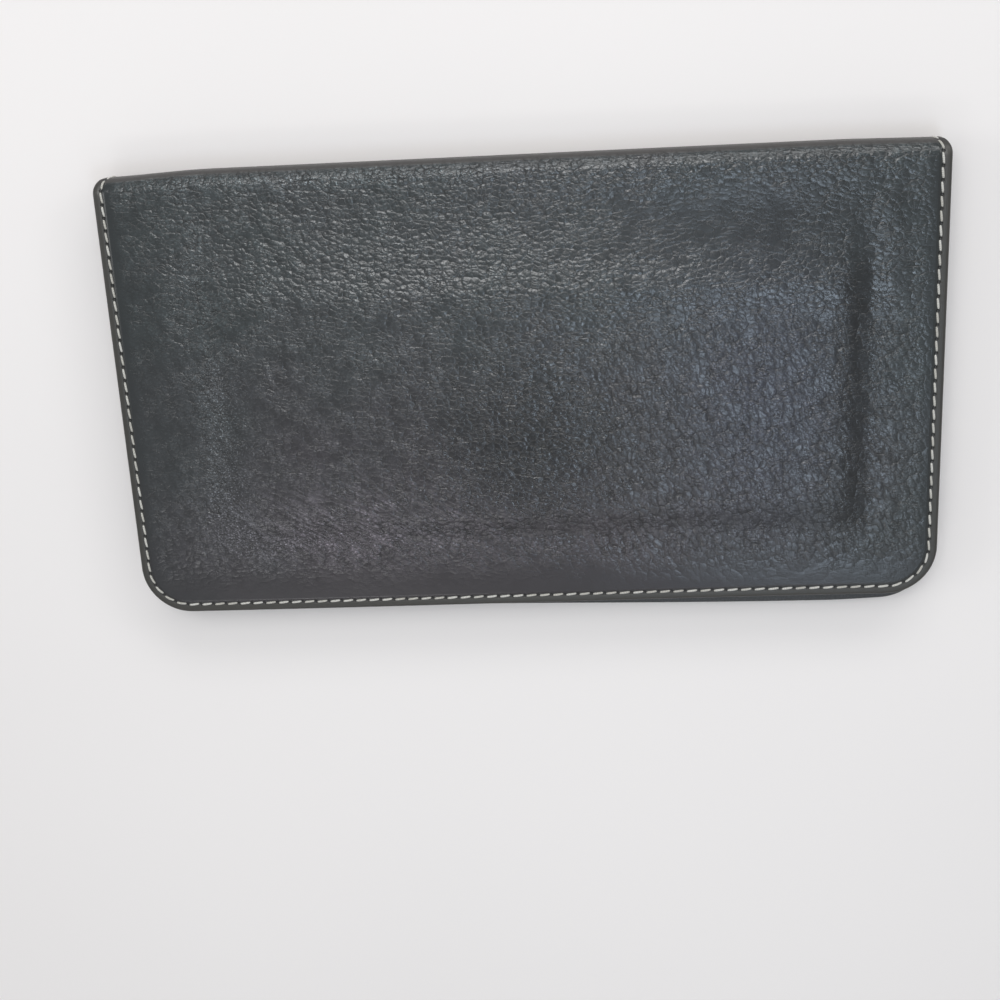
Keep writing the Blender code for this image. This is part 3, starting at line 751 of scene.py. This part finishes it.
def cover_leather(pitch):
    """Satin charcoal leather with needle holes at a pitch in mm."""
    skin = Finish("cover_leather_grain")
    place = skin.hide_mm()
    inset, coarse = skin.attribute("inset"), skin.attribute("coarse")
    fold, sparkling = skin.attribute("fold"), skin.attribute("sparkling")
    turned = skin.attribute("level").rise(0.3, 0.7)
    patches = skin.noise(place, 5.5)
    depth = coarse * (0.45 + 0.55 * patches.rise(0.3, 0.62))

    # The pebbles, the creases between them and the beads on them.
    bent_place = bent(skin, bent(skin, place, 4.2, 2.0), 1.0, 0.8)
    diagonal, level = (skin, bent_place, DIAGONAL_PEBBLES), (skin, bent_place, LEVEL_PEBBLES)
    dome = skin.mix(turned, domes(*diagonal), domes(*level))
    net = skin.mix(turned, off_crease(*diagonal), off_crease(*level))
    some = skin.noise(place, 2.6, 1.0).rise(0.35, 0.65)
    crease = (1 - net.rise(0.0, 0.14)) * (0.15 + 0.85 * some)
    bead = domes(skin, bent(skin, place, 0.7, 0.5), BEADS)
    beaded = 0.35 + 0.65 * skin.noise(place, 3.5, 2.0).rise(0.42, 0.6)
    tips_and_painted_highlight = depth * dome.rise(0.2, 0.8) * beaded * bead.rise(0.55, 0.95)

    # What lies over the pebbles.
    wrinkle = winding_lines(skin, bent_place, WRINKLES, 0.035) * patches.rise(0.46, 0.6)
    streak_and_painted_highlight = winding_lines(skin, place, STREAKS, 0.07) * skin.attribute("streaked") * (0.4 + 0.6 * some)
    rolls_and_painted_light = skin.noise(laid_along(skin, bent_place, ROLLS), 1.0, 1.0).rise(0.25, 0.75)
    speck = skin.noise(place, 0.40, 2.0)
    groove, holes = seam_marks(skin.attribute("along"), inset, pitch)
    strip = 1 - inset.rise(1.2, 3.0)
    paint = 1 - inset.rise(0.28, 0.5)

    height = skin.mix(turned, 0.16, 0.095) * dome + skin.mix(turned, 0.09, 0.045) * beaded * bead
    height = depth * (height - 0.03 * crease + 0.012 * skin.noise(place, 0.5, 3.0))
    height = height - 0.04 * coarse * wrinkle + 0.05 * streak_and_painted_highlight
    height = height + (0.008 + 0.09 * sparkling) * speck
    height = height + skin.mix(turned, 0.08, 0.04) * coarse * rolls_and_painted_light
    height = height - GROOVE_DEPTH * groove - HOLE_DEPTH * holes

    warmth = 0.6 * skin.noise(place, 21.0) + skin.attribute("violet") - 0.3
    painted_glints = (0.2 * coarse + 0.8 * sparkling) * speck.rise(0.56, 0.68)
    tone = skin.layered(
        skin.mix(warmth.rise(0.0, 1.0), COOL_TONE, WARM_TONE),
        # Painted cool reflection over the right half.
        (skin.attribute("bluish") * 0.7, PAINTED_COOL_TONE),
        # Painted dark reflection in the middle, at the upper right and down a stripe at the right.
        (skin.attribute("darkened") * 0.9, PAINTED_DARK_TONE),
        (strip, STRIP_TONE),
        (fold, FOLD_TONE),
        # Painted shade in the creases between the pebbles.
        (depth * crease * skin.mix(turned, 0.6, 0.9), 0.25),
        # Painted highlight on the pebble tips.
        (tips_and_painted_highlight, 2.3),
        # Painted glints on the specks, and painted highlights on the streaks.
        (painted_glints + 0.55 * streak_and_painted_highlight, 5.0),
    )
    # Painted light and shade over the rolls: lighter on their crests, darker in their hollows.
    tone = skin.mix(coarse * rolls_and_painted_light * 0.8, tone * grey(0.7), tone * grey(1.35))
    # Painted shade in the needle holes, then the edge paint.
    tone = skin.layered(tone, (holes * 0.8, PAINTED_HOLE_SHADE), (paint, PAINT_TONE))

    rough = skin.mix(turned, 0.25, 0.23) + 0.30 * depth * crease - 0.04 * tips_and_painted_highlight
    rough = rough + 0.06 * (patches - 0.5) + 0.20 * strip + 0.3 * fold
    return skin.surface(tone, skin.mix(paint, rough, PAINTED_ROUGHNESS), height, {"IOR": LEATHER_IOR})


stitch_pitch = {half: SEAM_LENGTH[half] / round(SEAM_LENGTH[half] / STITCH_PITCH) for half in OPEN_AT}
leather = {half: cover_leather(pitch) for half, pitch in stitch_pitch.items()}
print("stitch pitches, mm:", {half: round(pitch, 3) for half, pitch in stitch_pitch.items()})

# %% [markdown]
# Each cover is one piece of leather that runs from the open edge round to the middle of the spine. It
# bends with two bodies, its own half and the spine, so it is made as one mesh. Three stiff pieces with
# cracks between them would be simpler, and would look like armour.

# %% The cover leather's pieces
EDGE_RADIUS = 0.6
COVER_STEP = 0.9
FOLD_ROWS = 14
BLEND_DEPTH = 0.85
SEAM_SINK = 0.10


def half_grid(half, step):
    """x, s, inset and map of the points of a half's sheet. Its rows follow its round corners."""
    across = crowded(-HALF_WIDTH, HALF_WIDTH, step)
    lost = rounded_off(HALF_WIDTH - np.abs(across), OPEN_CORNER_RADIUS)
    fold_rows = np.linspace(0, FLAT_AT, FOLD_ROWS)
    flat_rows = crowded(FLAT_AT, OPEN_AT[half], step, near=(0.0, step))[1:]
    x, rows = np.meshgrid(across, np.concatenate([fold_rows, flat_rows]))
    last_flat = OPEN_AT[half] - EDGE_STEPS[-1]
    s = rows - lost * np.clip((rows - FLAT_AT) / (last_flat - FLAT_AT), 0, 1)
    inset = corner_inset(HALF_WIDTH - np.abs(x), OPEN_AT[half] - s, OPEN_CORNER_RADIUS)
    return x, s, inset, np.stack([x, FACING[half] * s], -1)


def on_cover(x, s, height, half):
    """The cover's surface, raised by a height in mm over the seam's groove."""
    y = HIDE_TO_Y - s
    relief = softened_shape(x, y, half) + worn_shape(x, y, half)
    return on_skin(x, s, SEAM_SINK - relief - height, half)


def blend_over_fold(obj, half):
    """Bakes a piece's transform into its mesh. The blend of a half's piece with the spine is worked out
    but not applied.
    """
    radius = FOLD_RADIUS - BLEND_DEPTH
    start = np.array([0.0, FOLD_Y, FIELD_RISE + BLEND_DEPTH])
    end = np.array([0.0, FOLD_Y + radius, FIELD_RISE + FOLD_RADIUS])
    if half == "front":
        start[2], end[2] = THICKNESS - start[2], THICKNESS - end[2]
        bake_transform(obj)
    else:
        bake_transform(obj)


def make_cover(half):
    x, s, inset, hide_map = half_grid(half, COVER_STEP)
    y = HIDE_TO_Y - s
    fall = bevel(inset, EDGE_RADIUS)
    good = on_skin(x, s, fall - softened_shape(x, y, half) - worn_shape(x, y, half), half)
    hidden = on_skin(x, s, COVER_LEATHER - fall - pressed_shape(x, y, half), half)
    values = {"inset": inset, "along": along_seam(x, s, half), **grain_attributes(x, s, inset, half)}
    return make_sheet(f"{half}_leather", good, hidden, leather[half], hide_map, values, cut_row=True)


covers = {half: make_cover(half) for half in OPEN_AT}
for half, cover in covers.items():
    blend_over_fold(cover, half)
    print(cover.name, len(cover.data.polygons), "faces")
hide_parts("back_cover", "spine_cover")
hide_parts("front_cover")

# %% [markdown]
# The thread is a thick waxed cord of pale cream. Each stitch is a short soft bridge between two needle
# holes, flatter than it is wide and a little aslant, since the needle cuts its holes at an angle. A
# row of single bridges gives the broken line of light and shade that a textured tube can't. Their
# twist is a bump along each bridge, and each has its own slight tint, as handled thread has.

# %% The thread
STRAND_PITCH = 0.42
CREAM_TONES = ((0.48, 0.47, 0.43), (0.59, 0.585, 0.55))
STITCH_RINGS = 11
STITCH_SIDES = 10
STITCH_SLANT = 0.17
STITCH_GAP = 0.08
STITCH_RISE = 0.14
STITCH_DIP = 0.42
THREAD_HALF_WIDTH = 0.27
THREAD_HALF_HEIGHT = 0.24


def waxed_thread():
    skin = Finish("cream_thread_twist")
    place = skin.hide_mm()
    length, turn = skin.axis(place, 0), skin.axis(place, 1)
    strand = ((length / STRAND_PITCH + turn) * (2 * math.pi)).through("SINE")
    cream = skin.layered(
        skin.mix(skin.attribute("stitch_tint").rise(0.2, 0.9), *CREAM_TONES),
        # Painted shade in the grooves of the twist.
        ((0.5 - 0.5 * strand) * 0.28, (0.20, 0.18, 0.14)),
        # Painted shade at each stitch's ends, where the thread sinks into its holes.
        (skin.attribute("stitch_end").rise(0.72, 1.0) * 0.7, (0.08, 0.07, 0.06)),
    )
    height = 0.035 * strand + 0.02 * skin.noise(place, 0.2, 3.0)
    return skin.surface(cream, 0.62, height, {"Sheen Weight": 0.15})


cream_thread = waxed_thread()


def stitch_centres(length, pitch):
    return (np.arange(round(length / pitch)) + 0.5) * pitch


def make_stitches(name, centres, pitch, path, surface, size=1.0):
    """Stitches centred at lengths along a path, on a surface that takes (x, s, height)."""
    t = np.linspace(-1, 1, STITCH_RINGS)[None, :, None]
    turn = (np.arange(STITCH_SIDES) * 2 * math.pi / STITCH_SIDES)[None, None, :]
    x, s, ahead_x, ahead_s = path(centres[:, None, None] + t * (pitch - STITCH_GAP) / 2)
    plump = np.sqrt(1 - 0.85 * np.abs(t) ** 3)
    off_line = size * (STITCH_SLANT * t + THREAD_HALF_WIDTH * plump * np.cos(turn))
    arch = STITCH_RISE * (1 - t**2) - STITCH_DIP * np.abs(t) ** 5
    height = size * (arch + THREAD_HALF_HEIGHT * plump * np.sin(turn))
    points = surface(x + ahead_s * off_line, s - ahead_x * off_line, height)
    body = np.arange(STITCH_RINGS * STITCH_SIDES).reshape(STITCH_RINGS, STITCH_SIDES)
    ahead = np.roll(body, -1, axis=1)
    sides = np.stack([body[:-1], ahead[:-1], ahead[1:], body[1:]], -1).reshape(-1, 4)
    one = facing_out(points[0].reshape(-1, 3), sides)
    step = 1 if np.array_equal(one, sides) else -1
    shell = [*one.tolist(), body[0][::-step].tolist(), body[-1][::step].tolist()]
    faces = [[point + i * body.size for point in face] for i in range(len(centres)) for face in shell]
    start, tint = np.random.default_rng(len(name)).uniform(0, 1, (2, len(centres), 1, 1))
    spread = np.broadcast_arrays(t * pitch / 2 + start, turn / (2 * math.pi), np.abs(t), tint)
    along, around, end, tint = (value.ravel() for value in spread)
    values = {"stitch_end": end, "stitch_tint": tint}
    twist_map = np.stack([along, around], -1)
    return make_mesh(name, points.reshape(-1, 3), faces, cream_thread, twist_map, values)


def stitch_cover(half):
    pitch = stitch_pitch[half]
    centres = stitch_centres(SEAM_LENGTH[half], pitch)
    path, surface = partial(seam_path, half=half), partial(on_cover, half=half)
    stitches = make_stitches(f"{half}_stitches", centres, pitch, path, surface)
    blend_over_fold(stitches, half)
    return stitches


outer_stitches = {half: stitch_cover(half) for half in OPEN_AT}
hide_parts("back_outer_seam", "spine_seam_left", "spine_seam_right")
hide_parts("front_outer_seam")
print("stitches outside:", {half: round(SEAM_LENGTH[half] / stitch_pitch[half]) for half in OPEN_AT})

# %% [markdown]
# Behind the leather lies a lining of thin twill, glued to the covers and sewn in with them. It shows
# beside the fold and inside the note compartments. It is cloth, cut flat, and goes through the same map
# as the leather at a greater depth, so it turns round the fold inside the leather. A twill's diagonal
# comes from its weave: each thread passes over two and under two, one step further on in each row. Two
# rounded waves across each other, shifted by row, draw that with threads a third of a millimetre wide.

# %% The lining
TWILL_THREAD = 0.36
LINING_STEP = 2.4
LINING_DEPTH = LINING_LEVEL - FIELD_RISE


def twill():
    skin = Finish("lining_twill")
    place = bent(skin, skin.hide_mm(), 6.0, 0.5)
    across, up = skin.axis(place, 0) / TWILL_THREAD, skin.axis(place, 1) / TWILL_THREAD
    over = ((across + up) * (math.pi / 2)).through("SINE")
    thread, weft = abs((across * math.pi).through("SINE")), abs((up * math.pi).through("SINE"))
    height = skin.mix(over.rise(-0.25, 0.25), weft, thread)
    slub = skin.noise(place * (0.25, 2.2, 1.0), 1.5, 2.0)
    tone = skin.layered(
        skin.mix(over.rise(-0.3, 0.3), (0.066, 0.063, 0.064), (0.096, 0.090, 0.088)),
        # Painted shade where the weave dips between its threads.
        ((1 - height) * 0.6, (0.030, 0.029, 0.031)),
        (slub.rise(0.35, 0.75) * 0.35, (0.13, 0.12, 0.115)),
    )
    return skin.surface(tone, 0.88, 0.07 * height + 0.03 * slub, {"Sheen Weight": 0.1})


lining_twill = twill()


def make_lining(half):
    x, s, inset, hide_map = half_grid(half, LINING_STEP)
    fall = bevel(inset, 0.4 * LINING)
    good = on_skin(x, s, LINING_DEPTH + LINING - fall, half)
    hidden = on_skin(x, s, LINING_DEPTH + fall, half)
    lining = make_sheet(f"{half}_lining_cloth", good, hidden, lining_twill, hide_map, {}, cut_row=True)
    blend_over_fold(lining, half)
    middle = LINING_DEPTH + LINING / 2
    length = SPINE_HALF + (FOLD_RADIUS - middle) * QUARTER_TURN + OPEN_AT[half] - FLAT_AT
    lost = 2 * (1 - math.pi / 4) * OPEN_CORNER_RADIUS**2
    width = 2 * HALF_WIDTH
    area = (width * length - lost) * MM**2
    flat = (width * MM, length * MM)
    print(lining.name, "cut flat, mm:", round(width, 1), "x", round(length, 1))
    return lining


linings = {half: make_lining(half) for half in OPEN_AT}
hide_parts("back_lining", "spine_lining")
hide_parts("front_lining")

# %% [markdown]
# The pockets are strips of a thinner and smoother leather of the same colour, stacked like stairs. Each
# mouth has a turned edge with a line creased into it by a hot tool, two millimetres in. The strips could
# be boxes with a bevel, but a thumb notch and the creased line need points that follow the mouth. So
# each strip is a sheet between two curves: the round open edge below and the mouth above.

# %% The pocket leather
POCKET_STEP, NOTCHED_STEP = 2.4, 1.0
MOUTH_STEPS = (0.0, 0.03, 0.1, 0.2, 0.32, 0.5, 0.8, 1.2, 1.55, 1.8, 2.0, 2.2, 2.45, 3.0)
CREASE_INSET = 2.0
CREASE_DEPTH, CREASE_REACH = 0.13, 0.32
NOTCH_HALF, NOTCH_DEPTH = 17.0, 9.0
NOTCH_RADIUS = (NOTCH_HALF**2 + NOTCH_DEPTH**2) / (2 * NOTCH_DEPTH)
# How far the hide moves on in x and y for each millimetre of height, so that no two strips match.
GRAIN_SHIFT = (7.0, 31.0)


def pocket_leather():
    skin = Finish("pocket_leather_grain")
    place = skin.hide_mm()
    inset, mouth = skin.attribute("inset"), skin.attribute("mouth")
    patches = skin.noise(place, 9.0)
    bent_place = bent(skin, place, 1.6, 0.9)
    net = off_crease(skin, bent_place, POCKET_PEBBLES).rise(0.0, 0.35)
    pores = skin.noise(place, 0.28, 2.0)
    crease = 1 - abs(mouth - CREASE_INSET).rise(0.05, 0.42)
    height = 0.028 * net * (0.5 + patches) + 0.010 * pores - 0.05 * crease
    tone = skin.layered(
        skin.mix(patches.rise(0.3, 0.7), (0.050, 0.053, 0.056), (0.059, 0.061, 0.063)),
        # Painted shade in the creases between the pebbles.
        ((1 - net) * 0.5, (0.030, 0.032, 0.034)),
        (crease * 0.5, (0.025, 0.026, 0.028)),
        (1 - inset.rise(0.10, 0.24), (0.030, 0.028, 0.026)),
    )
    return skin.surface(tone, skin.mix(crease, 0.50 - 0.08 * net, 0.36), height)


pocket_grain = pocket_leather()


def mouth_line(x, mouth_y, has_notch):
    """The y of a pocket's mouth, with a shallow round notch for the thumb in its middle."""
    if not has_notch:
        return np.full(x.shape, mouth_y)
    arc = mouth_y - NOTCH_DEPTH + NOTCH_RADIUS - np.sqrt(np.maximum(NOTCH_RADIUS**2 - x**2, 0))
    return np.where(np.abs(x) < NOTCH_HALF, arc, mouth_y)


def below_mouth(x, y, mouth_y, has_notch):
    """Distance inside a pocket's mouth."""
    if not has_notch:
        return mouth_y - y
    from_centre = np.hypot(x, y - (mouth_y - NOTCH_DEPTH + NOTCH_RADIUS))
    return np.minimum(mouth_y - y, from_centre - NOTCH_RADIUS)


def pocket_grid(open_y, mouth_y, has_notch):
    """x and y of a pocket's points, with rows that run from its round lower edge to its mouth."""
    across = crowded(-HALF_WIDTH, HALF_WIDTH, NOTCHED_STEP if has_notch else POCKET_STEP)
    side = HALF_WIDTH - np.abs(across)
    upper = mouth_line(across, mouth_y, has_notch) - rounded_off(side, MOUTH_CORNER_RADIUS)
    lower = open_y + rounded_off(side, OPEN_CORNER_RADIUS)
    near, far = np.array(EDGE_STEPS)[:, None], np.array(MOUTH_STEPS)[::-1, None]
    share = np.linspace(0, 1, round((mouth_y - open_y) / POCKET_STEP))[1:-1, None]
    middle = (lower + EDGE_STEPS[-1]) * (1 - share) + (upper - MOUTH_STEPS[-1]) * share
    y = np.concatenate([lower + near, middle, upper - far])
    return np.broadcast_to(across, y.shape), y


def make_pocket(node, half, has_notch=False):
    low, high = box_mm(node)
    open_y, mouth_y = OPEN_Y[half], float(high[1])
    thick, level = float(high[2] - low[2]), float(high[2] + low[2]) / 2
    x, y = pocket_grid(open_y, mouth_y, has_notch)
    side = HALF_WIDTH - np.abs(x)
    mouth = below_mouth(x, y, mouth_y, has_notch)
    inset = np.minimum(mouth, corner_inset(side, mouth_y - y, MOUTH_CORNER_RADIUS))
    inset = np.minimum(inset, corner_inset(side, y - open_y, OPEN_CORNER_RADIUS))
    fall = bevel(inset, 0.46 * thick)
    crease = CREASE_DEPTH * band(mouth, CREASE_INSET, CREASE_REACH)
    facing = FACING[half]
    good = settled(np.stack([x, y, level + facing * (thick / 2 - fall - crease)], -1), half)
    hidden = settled(np.stack([x, y, level - facing * (thick / 2 - fall)], -1), half)
    values = {"inset": inset, "mouth": mouth}
    hide_map = np.stack([x + GRAIN_SHIFT[0] * level, y + GRAIN_SHIFT[1] * level], -1)
    pocket = make_sheet(f"{node}_leather", good, hidden, pocket_grain, hide_map, values)
    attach(pocket, f"{half}_half")
    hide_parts(node)
    return pocket


tiers = sorted(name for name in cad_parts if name.startswith("card_tier_"))
pockets = [make_pocket(node, "front") for node in ["card_panel", *tiers]]
pockets += [make_pocket("slip_panel", "back"), make_pocket("cheque_pocket", "back", has_notch=True)]
print("pockets:", [pocket.name for pocket in pockets])

# %% [markdown]
# Inside, the lower thread of the same seam shows on the pockets. It goes down a stair at each mouth. Its
# stitches use the same needle holes as the outer ones, so they are centred at the same lengths along
# the seam and laid on the stairs' height instead of on the cover. One more seam, down the middle of the
# tiers, parts the card slots into two columns.

# %% The inner seams
STAIR_START, STAIR_RUN = 0.1, 1.3
STAIR_CLEARANCE = 0.05
INNER_STITCH_SIZE = 0.86


def on_stairs(nodes, half):
    """A surface over stacked sheets, from (x, s, height). nodes go from the open edge to the spine."""
    boxes = [box_mm(node) for node in nodes]
    facing = FACING[half]
    tops = [float(high[2] if half == "back" else low[2]) for low, high in boxes]
    lining_top = LINING_LEVEL + LINING if half == "back" else THICKNESS - LINING_LEVEL - LINING
    ends = [float(high[1]) for _, high in boxes]

    def surface(x, s, height):
        y = HIDE_TO_Y - s
        z = tops[0] + facing * (height + STAIR_CLEARANCE)
        for end, top, below in zip(ends, tops, [*tops[1:], lining_top]):
            z = z + (below - top) * eased(y, end + STAIR_START, end + STAIR_START + STAIR_RUN)
        points = np.stack(np.broadcast_arrays(x, y, z), axis=-1).astype(float)
        return settled(points, half)

    return surface


def sew_inside(name, node, half, centres, pitch, path, nodes):
    """A row of inner stitches over the stairs of some nodes, in the place of a packed seam."""
    surface = on_stairs(nodes, half)
    stitches = make_stitches(name, centres, pitch, path, surface, size=INNER_STITCH_SIZE)
    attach(stitches, f"{half}_half")
    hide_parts(node)


def stitch_inside(half, nodes):
    pitch = stitch_pitch[half]
    centres = stitch_centres(SEAM_LENGTH[half], pitch)
    first = FLAT_AT + pitch / 2
    centres = centres[(centres > first) & (centres < SEAM_LENGTH[half] - first)]
    path = partial(seam_path, half=half)
    sew_inside(f"{half}_inner_stitches", f"{half}_inner_seam", half, centres, pitch, path, nodes)


def stitch_divider(nodes):
    low, high = box_mm("card_divider_seam")
    start_s, length = HIDE_TO_Y - float(low[1]), float(high[1] - low[1])
    pitch = length / round(length / STITCH_PITCH)
    centres = stitch_centres(length, pitch)

    def up_the_middle(run):
        return 0.0, start_s - run, 0.0, -1.0

    name, node = "card_divider_stitches", "card_divider_seam"
    sew_inside(name, node, "front", centres, pitch, up_the_middle, nodes)


front_stairs = [*reversed(tiers), "card_panel"]
stitch_inside("front", front_stairs)
stitch_inside("back", ["cheque_pocket", "slip_panel"])
stitch_divider(front_stairs)
print("stairs from the open edge:", front_stairs)

# %% [markdown]
# The board inside each cover never shows, unless someone takes the wallet apart or cuts the model open.
# Its shape is right as it is packed, so it keeps that mesh and only gets the finish of grey bookbinder's
# board: pressed fibres, mottled, with darker flecks of old print.

# %% The boards


def grey_board():
    skin = Finish("grey_board_fibres")
    place = skin.node("TexCoord", output=3) * grey(1 / MM)
    cloudy = skin.noise(place, 7.0, 4.0)
    fibres = skin.noise(place * (0.35, 2.0, 2.0), 0.5, 3.0)
    flecks = skin.noise(place, 0.8, 1.0).rise(0.68, 0.74)
    tone = skin.layered(
        skin.mix(cloudy.rise(0.3, 0.7), (0.30, 0.28, 0.25), (0.38, 0.355, 0.32)),
        (fibres.rise(0.3, 0.7) * 0.4, (0.44, 0.42, 0.38)),
        (flecks * 0.6, (0.12, 0.12, 0.13)),
    )
    return skin.surface(tone, 0.92, 0.02 * fibres + 0.02 * cloudy)


board_finish = grey_board()
for node in ("back_board", "front_board"):
    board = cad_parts[node]
    for board_slot in board.material_slots:
        board_slot.material = board_finish
print("boards keep the packed mesh")

# %% [markdown]
# The wallet lies on a pale floor under a soft studio light. Large soft boxes stand beyond the fold and
# at both sides, so that the leather beside the fold and the slopes of the field catch them. Small ones
# before the open edge do the same for the lower slope and the margin, and a narrow cool one faces the
# right half. The sky does the rest at a plain level, at which a colour renders about as it is written.
# Stronger lamps would bleach the charcoal, and a bare sky alone would leave the grain flat.

# %% Floor, light and camera
FLOOR_SIZE = 3000.0
FLOOR_TONE = (0.78, 0.755, 0.745)
SKY_LEVEL = 0.46
LENS_MM = 52.7
CAMERA_AT = (23.9, 77.5, 339.6)
CAMERA_TURN = (-17.576, 4.3594, -2.9275)
SKY_COLOUR = (0.98, 0.99, 1.0, 1.0)


def floor_finish():
    skin = Finish("pale_floor")
    place = skin.node("TexCoord", output=3)
    lighter = tuple(1.03 * part for part in FLOOR_TONE)
    tone = skin.mix(skin.noise(place, 0.25).rise(0.3, 0.7), FLOOR_TONE, lighter)
    return skin.surface(tone, 0.6)


def make_floor():
    half = FLOOR_SIZE / 2 * MM
    mesh = bpy.data.meshes.new("floor")
    corners = [(-half, -half, 0), (half, -half, 0), (half, half, 0), (-half, half, 0)]
    mesh.from_pydata(corners, [], [(0, 1, 2, 3)])
    mesh.materials.append(floor_finish())
    floor = placed("floor", mesh)
    floor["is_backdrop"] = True


def add_lamp(name, at_mm, aim_mm, size_mm, watts, colour=(1.0, 1.0, 1.0)):
    """A rectangular soft box that faces a point on the wallet."""
    data = bpy.data.lights.new(name, "AREA")
    data.shape = "RECTANGLE"
    data.size, data.size_y = (side * MM for side in size_mm)
    data.energy = watts
    data.color = colour
    lamp = placed(name, data)
    at, aim = Vector(at_mm) * MM, Vector(aim_mm) * MM
    lamp.location = at
    lamp.rotation_euler = (aim - at).to_track_quat("-Z", "Y").to_euler()


def make_sky():
    world = bpy.data.worlds.new("soft_sky")
    bpy.context.scene.world = world
    world.use_nodes = True
    background = world.node_tree.nodes["Background"]
    background.inputs["Color"].default_value = SKY_COLOUR
    background.inputs["Strength"].default_value = SKY_LEVEL


def make_camera():
    data = bpy.data.cameras.new("camera")
    data.lens = LENS_MM
    camera = placed("camera", data)
    camera.location = np.array(CAMERA_AT) * MM
    camera.rotation_euler = Euler([math.radians(turn) for turn in CAMERA_TURN])
    bpy.context.scene.camera = camera


make_floor()
make_sky()
add_lamp("soft_box", (-40, 220, 600), (0, 20, 0), (240, 170), 0.95)
add_lamp("fold_strip", (-100, 390, 600), (-30, 50, 0), (420, 110), 0.50)
add_lamp("back_box", (200, 900, 600), (0, 40, 0), (900, 300), 3.2)
add_lamp("right_box", (900, 500, 700), (0, 0, 0), (400, 300), 1.3)
add_lamp("left_box", (-900, 100, 700), (0, 0, 0), (400, 300), 1.2)
add_lamp("front_left", (-190, -440, 600), (-40, -30, 0), (220, 90), 0.24)
add_lamp("front_right", (150, -460, 600), (30, -30, 0), (200, 90), 0.13, (0.9, 0.95, 1.0))
add_lamp("low_fill", (-110, -300, 600), (-40, -40, 0), (300, 90), 0.04)
add_lamp("cool_box", (115, -140, 600), (45, -15, 12), (80, 180), 0.36, (0.70, 0.84, 1.0))
make_camera()
bpy.context.scene.view_settings.view_transform = "Standard"
print("floor, sky, lamps and camera are in place")

# %% [markdown]
# The last cell prints the box of the imported model and the box of the dressed one, so that the two
# can be compared.

# %% Sizes
visual_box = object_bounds()
sizes = {"cad": [list(corner) for corner in cad_box], "visual": [list(corner) for corner in visual_box]}
for name, corners in sizes.items():
    print(name, "box, mm:", [[round(value / MM, 1) for value in corner] for corner in corners])
